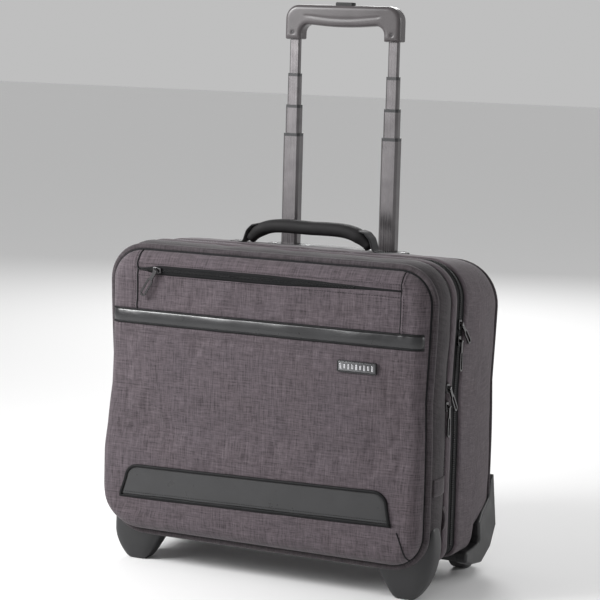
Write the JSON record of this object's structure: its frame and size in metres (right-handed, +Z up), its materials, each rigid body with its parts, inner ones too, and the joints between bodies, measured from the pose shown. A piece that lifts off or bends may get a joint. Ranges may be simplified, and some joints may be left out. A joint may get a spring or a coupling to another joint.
{
  "type": "rolling laptop case",
  "caption": "Wheeled fabric laptop case with front feet, zipped front and main compartments, carry handle and telescoping trolley handle.",
  "frame": {"origin": "centre of the footprint on the floor, under the feet and wheels", "axes": "+X to the right seen from the front, +Y to the back where the wheels and trolley handle are, +Z up"},
  "size_m": [0.452, 0.2439, 0.717],
  "materials": {
    "fabric": "woven two-tone melange polyester, matt",
    "lining": "plain woven lining, matt",
    "board": "stiff polyethylene board",
    "zip_chain": "coil zip on woven tape",
    "tube_metal": "dark anodised, satin gloss",
    "bezel_plastic": "moulded, satin",
    "guide_plastic": "moulded bush plastic",
    "steel": "plated steel",
    "webbing": "woven webbing",
    "handle_leather": "imitation leather, fine grain",
    "housing_plastic": "moulded, fine texture",
    "leather": "imitation leather, smooth satin",
    "badge_metal": "blank plate with a raised bright rim",
    "tyre": "solid rubber",
    "hub_plastic": "moulded nylon",
    "grip_plastic": "moulded, soft satin",
    "button_plastic": "moulded, smooth",
    "slider_metal": "black nickel",
    "puller_metal": "black nickel"
  },
  "bodies": {
    "case": {"rear_shell": "fabric", "back_board": "board", "laptop_divider": "lining", "main_zip_tape": "zip_chain", "outer_tube_left": "tube_metal", "outer_tube_right": "tube_metal", "trolley_bezel": "bezel_plastic", "bottom_bracket": "guide_plastic", "case_screws": "steel", "handle_anchors": "webbing", "wheel_axles": "steel", "wheel_housing_left": "housing_plastic", "wheel_housing_right": "housing_plastic"},
    "front_section": {"front_shell": "fabric", "front_zip_tape": "zip_chain", "organiser_panel": "lining", "lower_pouch": "fabric", "leather_panel": "leather", "front_foot_left": "housing_plastic", "front_foot_right": "housing_plastic", "foot_screws": "steel"},
    "front_flap": {"flap_panel": "fabric", "leather_band": "leather", "badge": "badge_metal", "pocket_zip_tape": "zip_chain"},
    "carry_handle": {"carry_handle_pad": "handle_leather"},
    "wheel_left": {"tyre_left": "tyre", "hub_left": "hub_plastic", "bearings_left": "steel"},
    "wheel_right": {"tyre_right": "tyre", "hub_right": "hub_plastic", "bearings_right": "steel"},
    "button": {"push_button": "button_plastic", "release_bar": "button_plastic"},
    "stage_1": {"stage_1_tube_left": "tube_metal", "stage_1_tube_right": "tube_metal", "stage_1_guides": "guide_plastic"},
    "stage_2": {"stage_2_tube_left": "tube_metal", "stage_2_tube_right": "tube_metal", "stage_2_guides": "guide_plastic"},
    "stage_3": {"stage_3_tube_left": "tube_metal", "stage_3_tube_right": "tube_metal", "stage_3_guides": "guide_plastic"},
    "stage_4": {"stage_4_tube_left": "tube_metal", "stage_4_tube_right": "tube_metal", "stage_4_guides": "guide_plastic", "grip_front": "grip_plastic", "grip_back": "grip_plastic", "grip_screws": "steel", "button_spring": "steel"},
    "slider_main_upper": {"slider_main_upper": "slider_metal"},
    "puller_main_upper": {"puller_main_upper": "puller_metal"},
    "slider_main_lower": {"slider_main_lower": "slider_metal"},
    "puller_main_lower": {"puller_main_lower": "puller_metal"},
    "slider_flap_upper": {"slider_flap_upper": "slider_metal"},
    "puller_flap_upper": {"puller_flap_upper": "puller_metal"},
    "slider_flap_lower": {"slider_flap_lower": "slider_metal"},
    "puller_flap_lower": {"puller_flap_lower": "puller_metal"},
    "slider_pocket": {"slider_pocket": "slider_metal"},
    "puller_pocket": {"puller_pocket": "puller_metal"}
  },
  "joints": [
    {"name": "main_opening", "type": "hinge", "parent": "case", "child": "front_section", "pos_m": [0, -0.02, 0.036], "axis": [1, 0, 0], "range_deg": [0, 75]},
    {"name": "flap_opening", "type": "hinge", "parent": "front_section", "child": "front_flap", "pos_m": [0, -0.08, 0.15], "axis": [1, 0, 0], "range_deg": [0, 20]},
    {"name": "handle_swing", "type": "hinge", "parent": "case", "child": "carry_handle", "pos_m": [0, 0.014, 0.418], "axis": [1, 0, 0], "range_deg": [-60, 60]},
    {"name": "wheel_left_spin", "type": "hinge", "parent": "case", "child": "wheel_left", "pos_m": [-0.1925, 0.0916, 0.029], "axis": [1, 0, 0], "continuous": true},
    {"name": "wheel_right_spin", "type": "hinge", "parent": "case", "child": "wheel_right", "pos_m": [0.1925, 0.0916, 0.029], "axis": [1, 0, 0], "continuous": true},
    {"name": "trolley_stage_1", "type": "slide", "parent": "case", "child": "stage_1", "axis": [0, 0, 1], "range_m": [-0.145, 0]},
    {"name": "trolley_stage_2", "type": "slide", "parent": "stage_1", "child": "stage_2", "axis": [0, 0, 1], "range_m": [-0.037, 0.108]},
    {"name": "trolley_stage_3", "type": "slide", "parent": "stage_2", "child": "stage_3", "axis": [0, 0, 1], "range_m": [-0.041, 0.104]},
    {"name": "trolley_stage_4", "type": "slide", "parent": "stage_3", "child": "stage_4", "axis": [0, 0, 1], "range_m": [-0.044, 0.1]},
    {"name": "button_press", "type": "slide", "parent": "stage_4", "child": "button", "axis": [0, 0, -1], "range_m": [0, 0.004], "stiffness_N_per_m": 900, "springref_m": -0.003, "deforming": ["button_spring"]},
    {"name": "main_upper_zip_run", "type": "slide", "parent": "case", "child": "slider_main_upper", "axis": [0, 0, 1], "range_m": [0, 0.02]},
    {"name": "main_upper_puller_swing", "type": "hinge", "parent": "slider_main_upper", "child": "puller_main_upper", "pos_m": [0.224, -0.02, 0.332], "axis": [0, -0.6691, -0.7431], "range_deg": [0, 120]},
    {"name": "main_lower_zip_run", "type": "slide", "parent": "case", "child": "slider_main_lower", "axis": [0, 0, 1], "range_m": [-0.24, 0]},
    {"name": "main_lower_puller_swing", "type": "hinge", "parent": "slider_main_lower", "child": "puller_main_lower", "pos_m": [0.224, -0.02, 0.312], "axis": [0, -1, 0], "range_deg": [0, 120]},
    {"name": "flap_upper_zip_run", "type": "slide", "parent": "front_section", "child": "slider_flap_upper", "axis": [0, 0, 1], "range_m": [0, 0.07]},
    {"name": "flap_upper_puller_swing", "type": "hinge", "parent": "slider_flap_upper", "child": "puller_flap_upper", "pos_m": [0.224, -0.053, 0.258], "axis": [0, -0.788, -0.6157], "range_deg": [0, 120]},
    {"name": "flap_lower_zip_run", "type": "slide", "parent": "front_section", "child": "slider_flap_lower", "axis": [0, 0, 1], "range_m": [-0.068, 0]},
    {"name": "flap_lower_puller_swing", "type": "hinge", "parent": "slider_flap_lower", "child": "puller_flap_lower", "pos_m": [0.224, -0.053, 0.236], "axis": [0, -1, 0], "range_deg": [0, 120]},
    {"name": "pocket_zip_run", "type": "slide", "parent": "front_flap", "child": "slider_pocket", "axis": [1, 0, 0], "range_m": [0, 0.305]},
    {"name": "pocket_puller_swing", "type": "hinge", "parent": "slider_pocket", "child": "puller_pocket", "pos_m": [-0.148, -0.12, 0.3795], "axis": [-0.8572, 0, 0.515], "range_deg": [0, 120]}
  ]
}
